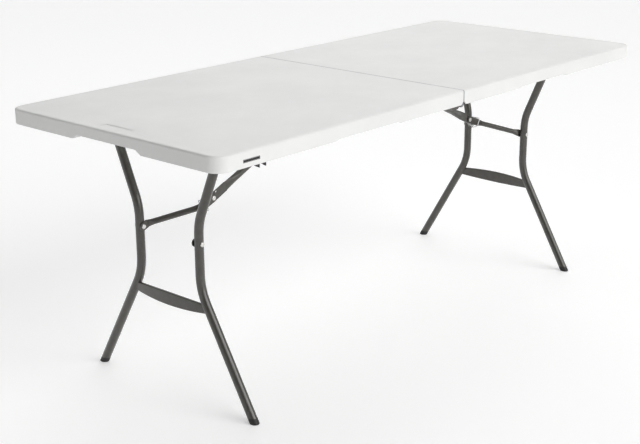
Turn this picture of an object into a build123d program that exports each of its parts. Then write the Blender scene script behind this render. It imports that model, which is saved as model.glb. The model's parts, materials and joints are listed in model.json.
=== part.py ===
from build123d import *
import os
from math import atan2, cos, degrees, hypot, radians, sin

# Folding table: two hollow plastic halves hinged at the middle, each on a folding steel leg frame.
# +X runs along the table, +Y across it and +Z up. The origin is on the floor under the centre.
# "side" is -1 for the left half (x < 0) and +1 for the right half. "edge" is -1 for the front long
# edge (y < 0) and +1 for the rear one. Everything is drawn open, standing on the floor.

# ---- table top ----
LENGTH = 1829.0
WIDTH = 762.0
HEIGHT = 737.0
SKIRT_HEIGHT = 40.0
SKIRT_WIDTH = 25.0
PANEL_THICKNESS = 16.0
WALL = 3.0
CORNER_RADIUS = 40.0
TOP_EDGE_RADIUS = 5.5
BOTTOM_EDGE_RADIUS = 2.0
SEAM_GAP = 1.2
SEAM_BEVEL = 1.8
SEAM_RIM = 15.0
SEAM_RIM_HALF_WIDTH = 325.0
HINGE_POCKET_LENGTH = 78.0
HINGE_POCKET_WALL = 3.5
SEAM_CORNER_CUT = 11.0
GROOVE_HALF_WIDTH = 36.0
GROOVE_START = 58.0
GROOVE_END = 664.0
GROOVE_ROOF = 8.0
GRIP_HALF_WIDTH = 127.0
GRIP_HEIGHT = 11.6
GRIP_BEVEL = 20.0
SIDE_NOTCH = (270.0, 520.0)
SIDE_NOTCH_HEIGHT = 4.5
SIDE_NOTCH_BEVEL = 9.0
MARK_LENGTH = 100.0
MARK_WIDTH = 21.0
MARK_DEPTH = 1.1
MARK_INSET = 37.0
MARK_CORNER = 4.0
BLOW_HOLE_RADIUS = 3.0
BLOW_HOLE_PLACE = (656.0, 190.0)

# ---- small fittings on the left half ----
LABEL_SIZE = (54.0, 8.0, 1.0)
LABEL_CENTRE_X = -810.0
LABEL_CENTRE_Z = 713.2
LABEL_CORNER = 0.6
LATCH_BASE = (50.0, 10.0, 3.0)
LATCH_CENTRE_X = -780.0
LATCH_FACE_INSET = 4.0
PRONG_TOPS = ((-800.5, -780.5), (-775.5, -759.5))
PRONG_DROP = 10.0
PRONG_THICKNESS = 6.0

# ---- leg frames ----
LEG_X = 729.0
PIVOT_Z = 708.5
TUBE_RADIUS = 12.0
TUBE_WALL = 1.5
WAIST = 111.0
WAIST_TOP_Z = 484.6
WAIST_BOTTOM_Z = 309.8
FOOT_Y = 291.0
LEG_HEAD_Y = 205.5
LEG_BEND_RADIUS = 150.0
FOOT_HEIGHT = 15.0
FOOT_PLUG_DEPTH = 22.0
FOOT_EDGE_RADIUS = 1.5
CROSS_TUBE_FULL = 320.0
CROSS_TUBE_NECK = 328.0
CROSS_TUBE_END = 341.0
SPIGOT_RADIUS = 7.0
SPIGOT_BORE = 5.5
LOW_BRACE_Z = 264.0
LOW_BRACE_HEIGHT = 36.0
LOW_BRACE_END_HEIGHT = 21.0
LOW_BRACE_THICKNESS = 8.0
LOW_BRACE_BOW = 12.0
LOW_BRACE_WALL = 1.5
LOW_BRACE_FILLET = 3.0
LOW_BRACE_REACH = 34.0

# ---- side rails ----
RAIL_WEB_Y = 334.0
RAIL_SHEET = 1.6
RAIL_DEPTH = 18.0
RAIL_LIP = 7.0
RAIL_HEIGHT = 21.5
RAIL_START = 14.0
RAIL_END = 756.0
SCREW_RADIUS = 2.1
SCREW_HEAD_RADIUS = 4.5
SCREW_HEAD_HEIGHT = 2.2
SCREW_HEAD_ROUND = 1.5
SCREW_LENGTH = 10.0
SCREW_BOSS_RADIUS = 6.5
RAIL_SCREW_X = (110.0, 330.0, 550.0, 690.0)
RAIL_SCREW_Y = 346.0

# ---- knee linkage, as distances from the table's centre plane ----
RIVET_Z = 433.0
LINK_PIVOT_X = 90.0
LINK_PIVOT_Z = 711.5
BRACE_LENGTH = 166.87
LINK_LENGTH = 530.35
LUG_FACE_Y = 98.7
LUG_THICKNESS = 3.0
LUG_RADIUS = 11.0
LUG_RUN = 15.0
ARM_RADIUS = 8.0
ARM_WALL = 1.2
ARM_BLEND = 17.0
KNEE_PLATE_Y = 1.8
KNEE_PLATE_THICKNESS = 3.0
KNEE_PLATE_RUN = 46.0
RIVET_RADIUS = 4.0
RIVET_HEAD_RADIUS = 6.5
RIVET_HEAD_HEIGHT = 2.2
RIVET_HEAD_ROUND = 2.0
RUNNING_CLEARANCE = 0.05
LINK_RADIUS = 9.5
LINK_WALL = 1.2
LINK_FLAT_HALF_WIDTH = 13.0
LINK_FLAT_THICKNESS = 3.0
LINK_TOP_FLAT = 24.0
LINK_TOP_BLEND = 46.0
LINK_KNEE_FLAT = 52.0
LINK_KNEE_BLEND = 56.0
LINK_HOLE_RADIUS = 3.0
LINK_HOLE_ALONG = 17.0
LINK_HOLE_ABOVE = 8.0
DRAIN_RADIUS = 1.5
RING_WIRE_RADIUS = 1.3
RING_HALF_WIDTH = 15.0
RING_TOP = 15.2
RING_SIDE_BOTTOM = -11.0
RING_APEX = -18.5
RING_PAST_KNEE = 35.0
RING_CORNER_RADIUS = 3.5

# ---- link bracket ----
BRACKET_SHEET = 2.0
BRACKET_HALF_LENGTH = 24.0
BRACKET_HALF_WIDTH = 14.0
BRACKET_CORNER_RADIUS = 4.0
BRACKET_EAR_HALF_LENGTH = 12.0
BRACKET_EAR_BOTTOM = 702.5
BRACKET_SCREW_X = 18.0
BRACKET_SCREW_Y = 8.5

# ---- centre hinge ----
HINGE_LEAF_LENGTH = 62.0
HINGE_LEAF_LEVEL = 37.0
HINGE_LEAF_THICKNESS = 3.0
HINGE_LEAF_Y = 370.0
HINGE_LEAF_GAP = 0.5
HINGE_EYE_RADIUS = 8.0
HINGE_SEAM_INSET = 2.0
HINGE_DROP = 10.5
HINGE_DROP_END = 1.5
HINGE_PIN_RADIUS = 4.0
HINGE_PIN_HEAD_RADIUS = 6.5
HINGE_PIN_HEAD = 2.5
HINGE_FLANGE_Y = 353.0
HINGE_FLANGE_THICKNESS = 2.5
HINGE_SCREW_X = (24.0, 50.0)
HINGE_SCREW_Y = 360.0

SKIRT_BOTTOM = HEIGHT - SKIRT_HEIGHT
UNDERSIDE = HEIGHT - PANEL_THICKNESS
GROOVE_TOP = HEIGHT - GROOVE_ROOF
SKIRT_INNER_Y = WIDTH / 2 - SKIRT_WIDTH
SKIRT_INNER_X = LENGTH / 2 - SKIRT_WIDTH
SEAM_FACE_X = SEAM_GAP / 2
SIDES = {-1: "left", 1: "right"}
EDGES = {-1: "front", 1: "rear"}


def knee_point():
    """Knee's x and z when open: where the brace's and the link's arcs meet, below their straight line."""
    across = LEG_X - LINK_PIVOT_X
    rise = LINK_PIVOT_Z - RIVET_Z
    reach = hypot(across, rise)
    along = (BRACE_LENGTH**2 - LINK_LENGTH**2 + reach**2) / (2 * reach)
    sag = (BRACE_LENGTH**2 - along**2) ** 0.5
    x = LEG_X - (along * across + sag * rise) / reach
    z = RIVET_Z + (along * rise - sag * across) / reach
    return x, z


KNEE_X, KNEE_Z = knee_point()
LINK_ANGLE = degrees(atan2(LINK_PIVOT_Z - KNEE_Z, KNEE_X - LINK_PIVOT_X))
ARM_ANGLE = degrees(atan2(KNEE_Z - RIVET_Z, LEG_X - KNEE_X))


def upright(y):
    """Plane across the table's width at y, with its sketch axes along X and Z. Extrudes towards -Y."""
    return Plane(origin=(0, y, 0), x_dir=(1, 0, 0), z_dir=(0, -1, 0))


def endwise(x):
    """Plane at x with its sketch axes along Y and Z. Extrudes towards +X."""
    return Plane(origin=(x, 0, 0), x_dir=(0, 1, 0), z_dir=(1, 0, 0))


def save(piece, name):
    piece.label = name
    export_step(piece, f"parts/{name}.step")


def block(x_range, y_range, z_range, mode=Mode.ADD):
    """A box between the given limits, in either order."""
    centre = [(a + b) / 2 for a, b in (x_range, y_range, z_range)]
    size = [abs(b - a) for a, b in (x_range, y_range, z_range)]
    with Locations(tuple(centre)):
        Box(*size, mode=mode)


def notch(points, plane, depth, mode=Mode.SUBTRACT):
    """Cuts a flat polygon profile to the given depth on both sides of its plane."""
    with BuildSketch(plane) as profile:
        Polygon(*points, align=None)
    extrude(profile.sketch, amount=depth, both=True, mode=mode)


def trapezium(low, high, height, bevel, grow=0.0):
    """Corners of a notch that opens at the skirt's bottom edge, grown outwards by a margin."""
    bottom = SKIRT_BOTTOM - 5
    top = SKIRT_BOTTOM + height + grow
    return [
        (low - grow - bevel * 5 / height, bottom),
        (high + grow + bevel * 5 / height, bottom),
        (high + grow - bevel, top),
        (low - grow + bevel, top),
    ]


def screw_points(side):
    """Centres of every screw into one half: rails, hinge leaves and link bracket, with their seat heights."""
    rail_seat = UNDERSIDE - RAIL_SHEET
    leaf_seat = UNDERSIDE - HINGE_FLANGE_THICKNESS
    bracket_seat = GROOVE_TOP - BRACKET_SHEET
    points = [(side * x, edge * RAIL_SCREW_Y, rail_seat, UNDERSIDE) for x in RAIL_SCREW_X for edge in EDGES]
    points += [(side * x, edge * HINGE_SCREW_Y, leaf_seat, UNDERSIDE) for x in HINGE_SCREW_X for edge in EDGES]
    for x, y in bracket_screw_places(side):
        points.append((x, y, bracket_seat, GROOVE_TOP))
    return points


def bracket_screw_places(side):
    """X and Y of the four screws at the corners of a link bracket."""
    middle = side * LINK_PIVOT_X
    return [(middle + x * BRACKET_SCREW_X, y * BRACKET_SCREW_Y) for x in (-1, 1) for y in (-1, 1)]


def screw_tip(top):
    """Height of the tip of a screw that enters the plastic at the given height."""
    return min(top + SCREW_LENGTH, HEIGHT - WALL)


def half_cavity(side):
    """The air space inside one blow-moulded half, clear of every recess, notch and screw boss."""
    outer_x = LENGTH / 2 - WALL
    outer_y = WIDTH / 2 - WALL
    seam_x = SEAM_FACE_X + WALL
    pocket_y = WIDTH / 2 - HINGE_POCKET_WALL - WALL
    with BuildPart() as cavity:
        with BuildSketch(Plane.XY.offset(SKIRT_BOTTOM + WALL)):
            with Locations((side * (outer_x + seam_x) / 2, 0)):
                Rectangle(outer_x - seam_x, 2 * outer_y)
        extrude(amount=SKIRT_HEIGHT - 2 * WALL)
        corners = cavity.edges().filter_by(Axis.Z).group_by(Axis.X)[-1 if side > 0 else 0]
        fillet(corners, radius=CORNER_RADIUS - WALL)
        low = SKIRT_BOTTOM
        panel_low = UNDERSIDE + WALL
        rim_x = SEAM_FACE_X + SEAM_RIM - WALL
        recess_x = (side * rim_x, side * (SKIRT_INNER_X + WALL))
        block(recess_x, (-SKIRT_INNER_Y - WALL, SKIRT_INNER_Y + WALL), (low, panel_low), Mode.SUBTRACT)
        for edge in EDGES:
            pocket = (edge * (SEAM_RIM_HALF_WIDTH - WALL), edge * outer_y)
            block((0, side * (HINGE_POCKET_LENGTH + WALL)), pocket, (low, panel_low), Mode.SUBTRACT)
            side_points = trapezium(*SIDE_NOTCH, SIDE_NOTCH_HEIGHT, SIDE_NOTCH_BEVEL, WALL)
            side_points = [(side * x, z) for x, z in side_points]
            notch(side_points, upright(edge * outer_y), SKIRT_WIDTH)
        groove_x = (side * (GROOVE_START - WALL), side * (GROOVE_END + WALL))
        groove_y = GROOVE_HALF_WIDTH + WALL
        block(groove_x, (-groove_y, groove_y), (low, HEIGHT), Mode.SUBTRACT)
        grip = trapezium(-GRIP_HALF_WIDTH, GRIP_HALF_WIDTH, GRIP_HEIGHT, GRIP_BEVEL, WALL)
        notch(grip, endwise(side * outer_x), SKIRT_WIDTH)
        if side < 0:
            latch_x = (LATCH_CENTRE_X - LATCH_BASE[0] / 2 - WALL, LATCH_CENTRE_X + LATCH_BASE[0] / 2 + WALL)
            latch_z = (low, SKIRT_BOTTOM + LATCH_BASE[2] + WALL)
            block(latch_x, (-outer_y, -SKIRT_INNER_Y), latch_z, Mode.SUBTRACT)
        for x, y, _, _ in screw_points(side):
            with Locations((x, y, HEIGHT - PANEL_THICKNESS / 2)):
                Cylinder(SCREW_BOSS_RADIUS, PANEL_THICKNESS, mode=Mode.SUBTRACT)
    return cavity.part


def recess(side):
    """Cuts the underside: the well that takes the folded legs, the hinge pockets and the link's groove."""
    well_x = (side * (SEAM_FACE_X + SEAM_RIM), side * SKIRT_INNER_X)
    depth = UNDERSIDE - SKIRT_BOTTOM
    with BuildSketch(Plane.XY.offset(SKIRT_BOTTOM)) as floor:
        with Locations(((well_x[0] + well_x[1]) / 2, 0)):
            Rectangle(abs(well_x[1] - well_x[0]), 2 * SKIRT_INNER_Y)
        outer = floor.vertices().group_by(Axis.X)[-1 if side > 0 else 0]
        fillet(outer, radius=CORNER_RADIUS - SKIRT_WIDTH)
    extrude(floor.sketch, amount=depth, mode=Mode.SUBTRACT)
    pocket_y = WIDTH / 2 - HINGE_POCKET_WALL
    for edge in EDGES:
        y_range = (edge * SEAM_RIM_HALF_WIDTH, edge * pocket_y)
        block((0, side * HINGE_POCKET_LENGTH), y_range, (SKIRT_BOTTOM, UNDERSIDE), Mode.SUBTRACT)
    groove_y = (-GROOVE_HALF_WIDTH, GROOVE_HALF_WIDTH)
    groove_x = (side * GROOVE_START, side * GROOVE_END)
    block(groove_x, groove_y, (UNDERSIDE, GROOVE_TOP), Mode.SUBTRACT)


def skirt_notches(side):
    """Cuts the hand grip in the short end, the shallow notches in the long sides and the seam corners."""
    grip = trapezium(-GRIP_HALF_WIDTH, GRIP_HALF_WIDTH, GRIP_HEIGHT, GRIP_BEVEL)
    notch(grip, endwise(side * LENGTH / 2), SKIRT_WIDTH + WALL)
    side_points = [(side * x, z) for x, z in trapezium(*SIDE_NOTCH, SIDE_NOTCH_HEIGHT, SIDE_NOTCH_BEVEL)]
    cut = SEAM_CORNER_CUT + SEAM_FACE_X
    corner = [(0, SKIRT_BOTTOM - 1), (side * (cut + 1), SKIRT_BOTTOM - 1), (0, SKIRT_BOTTOM + cut)]
    for edge in EDGES:
        notch(side_points, upright(edge * WIDTH / 2), SKIRT_WIDTH + WALL)
        notch(corner, upright(edge * WIDTH / 2), SKIRT_WIDTH + WALL)


def seam_bevels(side):
    """Bevels the seam's top edge and its two upright edges."""
    near = side * (SEAM_FACE_X - 1)
    far = side * (SEAM_FACE_X + SEAM_BEVEL + 1)
    notch([(far, HEIGHT + 1), (near, HEIGHT + 1), (near, HEIGHT - SEAM_BEVEL - 1)], upright(0), WIDTH)
    for edge in EDGES:
        face = edge * (WIDTH / 2 + 1)
        inner = edge * (WIDTH / 2 - SEAM_BEVEL - 1)
        notch([(far, face), (near, face), (near, inner)], Plane.XY.offset(HEIGHT), 2 * SKIRT_HEIGHT)


def left_half_seats():
    """Cuts the plain sunk mark in the top, the label's seat and the latch's seat."""
    with BuildSketch(Plane.XY.offset(HEIGHT)) as mark:
        with Locations((-LENGTH / 2 + MARK_INSET, 0)):
            RectangleRounded(MARK_WIDTH, MARK_LENGTH, MARK_CORNER)
    extrude(mark.sketch, amount=-MARK_DEPTH, mode=Mode.SUBTRACT)
    block(*label_limits(), Mode.SUBTRACT)
    block(*latch_limits(), Mode.SUBTRACT)


def label_limits():
    long, tall, deep = LABEL_SIZE
    x_range = (LABEL_CENTRE_X - long / 2, LABEL_CENTRE_X + long / 2)
    z_range = (LABEL_CENTRE_Z - tall / 2, LABEL_CENTRE_Z + tall / 2)
    return x_range, (-WIDTH / 2, -WIDTH / 2 + deep), z_range


def latch_limits():
    long, wide, tall = LATCH_BASE
    x_range = (LATCH_CENTRE_X - long / 2, LATCH_CENTRE_X + long / 2)
    y_face = -WIDTH / 2 + LATCH_FACE_INSET
    return x_range, (y_face, y_face + wide), (SKIRT_BOTTOM, SKIRT_BOTTOM + tall)


def table_half(side):
    cavity = half_cavity(side)
    mid_x = side * (LENGTH / 2 + SEAM_FACE_X) / 2
    with BuildPart() as half:
        with BuildSketch(Plane.XY.offset(SKIRT_BOTTOM)) as outline:
            with Locations((mid_x, 0)):
                Rectangle(LENGTH / 2 - SEAM_FACE_X, WIDTH)
            fillet(outline.vertices().group_by(Axis.X)[-1 if side > 0 else 0], radius=CORNER_RADIUS)
        extrude(amount=SKIRT_HEIGHT)
        seam_edges = half.edges().filter_by(Axis.Y).group_by(Axis.X)[0 if side > 0 else -1]
        top_rim = half.faces().sort_by(Axis.Z)[-1].edges() - seam_edges
        bottom_rim = half.faces().sort_by(Axis.Z)[0].edges() - seam_edges
        fillet(top_rim, radius=TOP_EDGE_RADIUS)
        fillet(bottom_rim, radius=BOTTOM_EDGE_RADIUS)
        recess(side)
        skirt_notches(side)
        seam_bevels(side)
        if side < 0:
            left_half_seats()
        add(cavity, mode=Mode.SUBTRACT)
        for x, y, _, top in screw_points(side):
            with Locations((x, y, (top + screw_tip(top)) / 2)):
                Cylinder(SCREW_RADIUS, screw_tip(top) - top, mode=Mode.SUBTRACT)
        with Locations((side * BLOW_HOLE_PLACE[0], BLOW_HOLE_PLACE[1], UNDERSIDE)):
            Cylinder(BLOW_HOLE_RADIUS, 3 * WALL, mode=Mode.SUBTRACT)
    save(half.part, f"table_half_{SIDES[side]}")


def side_label():
    with BuildPart() as label:
        block(*label_limits())
        fillet(label.edges().filter_by(Axis.Y), radius=LABEL_CORNER)
    save(label.part, "side_label")


def carry_latch():
    """A plate let into the skirt's bottom edge with two wedge prongs below it."""
    x_range, y_range, z_range = latch_limits()
    prong_y = y_range[0] + PRONG_THICKNESS / 2
    with BuildPart() as latch:
        block(x_range, y_range, z_range)
        for start, stop in PRONG_TOPS:
            prong = [(start, SKIRT_BOTTOM), (stop, SKIRT_BOTTOM), (stop, SKIRT_BOTTOM - PRONG_DROP)]
            with BuildSketch(upright(prong_y)):
                Polygon(*prong, align=None)
            extrude(amount=PRONG_THICKNESS / 2, both=True)
    save(latch.part, "carry_latch")


def side_rail(side, edge):
    """C-section rail under a long edge, open outwards, with a hole for the leg frame's spigot."""
    low = UNDERSIDE - RAIL_HEIGHT
    web = (edge * RAIL_WEB_Y, edge * (RAIL_WEB_Y + RAIL_SHEET))
    with BuildPart() as rail:
        x_range = (side * RAIL_START, side * RAIL_END)
        block(x_range, web, (low, UNDERSIDE))
        block(x_range, (web[0], edge * (RAIL_WEB_Y + RAIL_DEPTH)), (UNDERSIDE - RAIL_SHEET, UNDERSIDE))
        block(x_range, (web[0], edge * (RAIL_WEB_Y + RAIL_LIP)), (low, low + RAIL_SHEET))
        bends = rail.edges().filter_by(Axis.X).filter_by_position(Axis.Y, *sorted((web[0] - 0.1, web[0] + 0.1)))
        fillet(bends, radius=RAIL_SHEET * 0.9)
        with Locations(Plane(origin=(side * LEG_X, web[0], PIVOT_Z), z_dir=(0, 1, 0))):
            Cylinder(SPIGOT_RADIUS + RUNNING_CLEARANCE, 4 * RAIL_SHEET, mode=Mode.SUBTRACT)
        for x in RAIL_SCREW_X:
            with Locations((side * x, edge * RAIL_SCREW_Y, UNDERSIDE)):
                Cylinder(SCREW_RADIUS, 4 * RAIL_SHEET, mode=Mode.SUBTRACT)
    save(rail.part, f"side_rail_{SIDES[side]}_{EDGES[edge]}")


def panel_screws(side):
    with BuildPart() as screws:
        for x, y, seat, top in screw_points(side):
            tip = screw_tip(top)
            with Locations((x, y, (seat + tip) / 2)):
                Cylinder(SCREW_RADIUS, tip - seat)
            with Locations((x, y, seat - SCREW_HEAD_HEIGHT / 2)):
                Cylinder(SCREW_HEAD_RADIUS, SCREW_HEAD_HEIGHT)
        head_bottoms = [seat - SCREW_HEAD_HEIGHT for _, _, seat, _ in screw_points(side)]
        flats = screws.faces().filter_by(Axis.Z)
        undersides = [f for f in flats if min(abs(f.center().Z - low) for low in head_bottoms) < 0.01]
        fillet([f.edges()[0] for f in undersides], radius=SCREW_HEAD_ROUND)
    save(screws.part, f"panel_screws_{SIDES[side]}")


def leg_path(edge, floor_z):
    """Centre line of a leg tube as points in its plane, from the cross tube down past the floor."""
    slope = (FOOT_Y - WAIST) / WAIST_BOTTOM_Z
    return [
        (edge * LEG_HEAD_Y, PIVOT_Z),
        (edge * WAIST, WAIST_TOP_Z),
        (edge * WAIST, WAIST_BOTTOM_Z),
        (edge * (FOOT_Y - slope * floor_z), floor_z),
    ]


def around_leg(side):
    """X limits that hold a whole leg tube with room to spare."""
    return side * (LEG_X - 2 * TUBE_RADIUS), side * (LEG_X + 2 * TUBE_RADIUS)


def leg_bar(side, edge, radius):
    """A solid bar along a leg's centre line, running a little past the floor."""
    points = leg_path(edge, -TUBE_RADIUS)
    with BuildPart() as bar:
        with BuildLine(endwise(side * LEG_X)) as path:
            FilletPolyline(*points, radius=LEG_BEND_RADIUS)
        with BuildSketch(Plane(origin=path.line @ 0, z_dir=path.line % 0)):
            Circle(radius)
        sweep(path=path.line)
    return bar.part


def cross_bar(side, radius, half_length):
    with BuildPart() as bar:
        with Locations(Plane(origin=(side * LEG_X, 0, PIVOT_Z), z_dir=(0, 1, 0))):
            Cylinder(radius, 2 * half_length)
    return bar.part


def leg_tube(side, edge):
    """Bent leg tube: coped against the cross tube at its head and cut level above its foot."""
    outer = leg_bar(side, edge, TUBE_RADIUS)
    inner = leg_bar(side, edge, TUBE_RADIUS - TUBE_WALL)
    cross = cross_bar(side, TUBE_RADIUS, CROSS_TUBE_FULL)
    with BuildPart() as tube:
        add(outer)
        add(inner, mode=Mode.SUBTRACT)
        add(cross, mode=Mode.SUBTRACT)
        block(around_leg(side), (0, edge * WIDTH), (-FOOT_HEIGHT, FOOT_HEIGHT), Mode.SUBTRACT)
        with Locations(Plane(origin=(side * LEG_X, edge * WAIST, RIVET_Z), z_dir=(0, 1, 0))):
            Cylinder(RIVET_RADIUS, 4 * TUBE_RADIUS, mode=Mode.SUBTRACT)
    largest = tube.part.solids().sort_by(SortBy.VOLUME)[-1]
    save(Part(largest.wrapped), f"leg_tube_{SIDES[side]}_{EDGES[edge]}")


def foot(side, edge):
    """Plastic cap flush with the tube, cut level at the floor, with a plug up inside the tube."""
    outer = leg_bar(side, edge, TUBE_RADIUS)
    plug = leg_bar(side, edge, TUBE_RADIUS - TUBE_WALL)
    near = around_leg(side)
    with BuildPart() as plug_part:
        add(plug)
        block(near, (0, edge * WIDTH), (FOOT_HEIGHT, FOOT_HEIGHT + FOOT_PLUG_DEPTH), Mode.INTERSECT)
    with BuildPart() as cap:
        add(outer)
        block(near, (0, edge * WIDTH), (0, FOOT_HEIGHT), Mode.INTERSECT)
        fillet(cap.faces().sort_by(Axis.Z)[0].edges(), radius=FOOT_EDGE_RADIUS)
        add(plug_part.part)
    save(cap.part, f"foot_{SIDES[side]}_{EDGES[edge]}")


def leg_cross_tube(side):
    """Cross tube whose necked ends turn in the side rails."""
    with BuildPart() as tube:
        with BuildSketch(Plane(origin=(side * LEG_X, 0, PIVOT_Z), x_dir=(0, 1, 0), z_dir=(1, 0, 0))):
            Polygon(
                (-CROSS_TUBE_END, SPIGOT_BORE),
                (-CROSS_TUBE_NECK, SPIGOT_BORE),
                (-CROSS_TUBE_FULL, TUBE_RADIUS - TUBE_WALL),
                (CROSS_TUBE_FULL, TUBE_RADIUS - TUBE_WALL),
                (CROSS_TUBE_NECK, SPIGOT_BORE),
                (CROSS_TUBE_END, SPIGOT_BORE),
                (CROSS_TUBE_END, SPIGOT_RADIUS),
                (CROSS_TUBE_NECK, SPIGOT_RADIUS),
                (CROSS_TUBE_FULL, TUBE_RADIUS),
                (-CROSS_TUBE_FULL, TUBE_RADIUS),
                (-CROSS_TUBE_NECK, SPIGOT_RADIUS),
                (-CROSS_TUBE_END, SPIGOT_RADIUS),
                align=None,
            )
        revolve(axis=Axis((side * LEG_X, 0, PIVOT_Z), (0, 1, 0)))
    save(tube.part, f"leg_cross_tube_{SIDES[side]}")


def lens(half_height, end_half_height, half_width):
    """Outline of the lower brace as seen along X: two shallow arcs and two straight ends."""
    with BuildLine() as outline:
        top_l = (-half_width, LOW_BRACE_Z + end_half_height)
        top_r = (half_width, LOW_BRACE_Z + end_half_height)
        low_l = (-half_width, LOW_BRACE_Z - end_half_height)
        low_r = (half_width, LOW_BRACE_Z - end_half_height)
        ThreePointArc(top_l, (0, LOW_BRACE_Z + half_height), top_r)
        Line(top_r, low_r)
        ThreePointArc(low_r, (0, LOW_BRACE_Z - half_height), low_l)
        Line(low_l, top_l)
    make_face(outline.edges())


def bowed_strip(side, thickness, half_width):
    """Plan outline of the lower brace: a thin strip whose middle bows away from the table's centre."""
    bow = side * LOW_BRACE_BOW
    inner_x = side * (LEG_X - thickness / 2)
    outer_x = side * (LEG_X + thickness / 2)
    with BuildLine() as outline:
        ThreePointArc((inner_x, -half_width), (inner_x + bow, 0), (inner_x, half_width))
        Line((inner_x, half_width), (outer_x, half_width))
        ThreePointArc((outer_x, half_width), (outer_x + bow, 0), (outer_x, -half_width))
        Line((outer_x, -half_width), (inner_x, -half_width))
    make_face(outline.edges())


def bowed_lens(side, thickness, trim):
    half_width = WAIST + LOW_BRACE_REACH
    with BuildPart() as strip:
        with BuildSketch(Plane.XY.offset(LOW_BRACE_Z)):
            bowed_strip(side, thickness, half_width)
        extrude(amount=LOW_BRACE_HEIGHT, both=True)
        with BuildSketch(endwise(side * LEG_X)):
            lens(LOW_BRACE_HEIGHT / 2 - trim, LOW_BRACE_END_HEIGHT / 2 - trim, half_width)
        extrude(amount=3 * LOW_BRACE_BOW, both=True, mode=Mode.INTERSECT)
    return strip.part


def lower_brace(side):
    """Flattened tube welded between the two leg tubes, tallest in the middle."""
    outer = bowed_lens(side, LOW_BRACE_THICKNESS, 0)
    inner = bowed_lens(side, LOW_BRACE_THICKNESS - 2 * LOW_BRACE_WALL, LOW_BRACE_WALL)
    legs = [leg_bar(side, edge, TUBE_RADIUS) for edge in EDGES]
    with BuildPart() as brace:
        add(outer)
        bowed_edges = brace.edges().group_by(Axis.Z)[0] + brace.edges().group_by(Axis.Z)[-1]
        fillet(bowed_edges, radius=LOW_BRACE_FILLET)
        add(inner, mode=Mode.SUBTRACT)
        for leg in legs:
            add(leg, mode=Mode.SUBTRACT)
    middle = brace.part.solids().sort_by(SortBy.VOLUME)[-1]
    save(Part(middle.wrapped), f"lower_brace_{SIDES[side]}")


def rivet(builder, x, z, start, stop, heads):
    """Rivet along Y from start to stop. Each head is an end of the shank and the way it points."""
    with Locations(Plane(origin=(x, (start + stop) / 2, z), z_dir=(0, 1, 0))):
        Cylinder(RIVET_RADIUS, abs(stop - start))
    for end, way in heads:
        tip = end + way * RIVET_HEAD_HEIGHT
        with Locations(Plane(origin=(x, (end + tip) / 2, z), z_dir=(0, 1, 0))):
            Cylinder(RIVET_HEAD_RADIUS, RIVET_HEAD_HEIGHT)
        rim = builder.edges().filter_by_position(Axis.Y, tip - 0.01, tip + 0.01)
        fillet(rim, radius=RIVET_HEAD_ROUND)


def leg_rivets(side):
    """The leg tubes' halves of the four brace rivets: through each tube, with a head outside."""
    x = side * LEG_X
    with BuildPart() as rivets:
        for edge in EDGES:
            outer = edge * (WAIST + TUBE_RADIUS)
            rivet(rivets, x, RIVET_Z, edge * (WAIST - TUBE_RADIUS), outer, [(outer, edge)])
    save(rivets.part, f"leg_rivets_{SIDES[side]}")


def lug_rivets(side):
    """The brace lugs' halves of the same rivets: through each lug, with a head on its inner face."""
    x = side * LEG_X
    with BuildPart() as rivets:
        for edge in EDGES:
            inner = edge * (LUG_FACE_Y - LUG_THICKNESS)
            rivet(rivets, x, RIVET_Z, edge * LUG_FACE_Y, inner, [(inner, -edge)])
    save(rivets.part, f"lug_rivets_{SIDES[side]}")


def knee_rivet(side):
    outer = KNEE_PLATE_Y + KNEE_PLATE_THICKNESS
    with BuildPart() as knee:
        rivet(knee, side * KNEE_X, KNEE_Z, -outer, outer, [(-outer, -1), (outer, 1)])
    save(knee.part, f"knee_rivet_{SIDES[side]}")


def arm_point(side, along):
    """Point on the line from the knee towards the leg rivets, at a distance from the knee."""
    x = side * (KNEE_X + along * cos(radians(ARM_ANGLE)))
    z = KNEE_Z - along * sin(radians(ARM_ANGLE))
    return x, z


def flat_bar(side, start, stop, half_width, round_start, round_stop, y_range):
    """Flat bar along the brace's line, with a round end where asked."""
    angle = -side * ARM_ANGLE
    (x0, z0), (x1, z1) = arm_point(side, start), arm_point(side, stop)
    with BuildSketch(upright((y_range[0] + y_range[1]) / 2)) as bar:
        with Locations(((x0 + x1) / 2, (z0 + z1) / 2)):
            Rectangle(stop - start, 2 * half_width, rotation=angle)
        for wanted, centre in ((round_start, (x0, z0)), (round_stop, (x1, z1))):
            if wanted:
                with Locations(centre):
                    Circle(half_width)
    extrude(bar.sketch, amount=abs(y_range[1] - y_range[0]) / 2, both=True)


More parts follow.
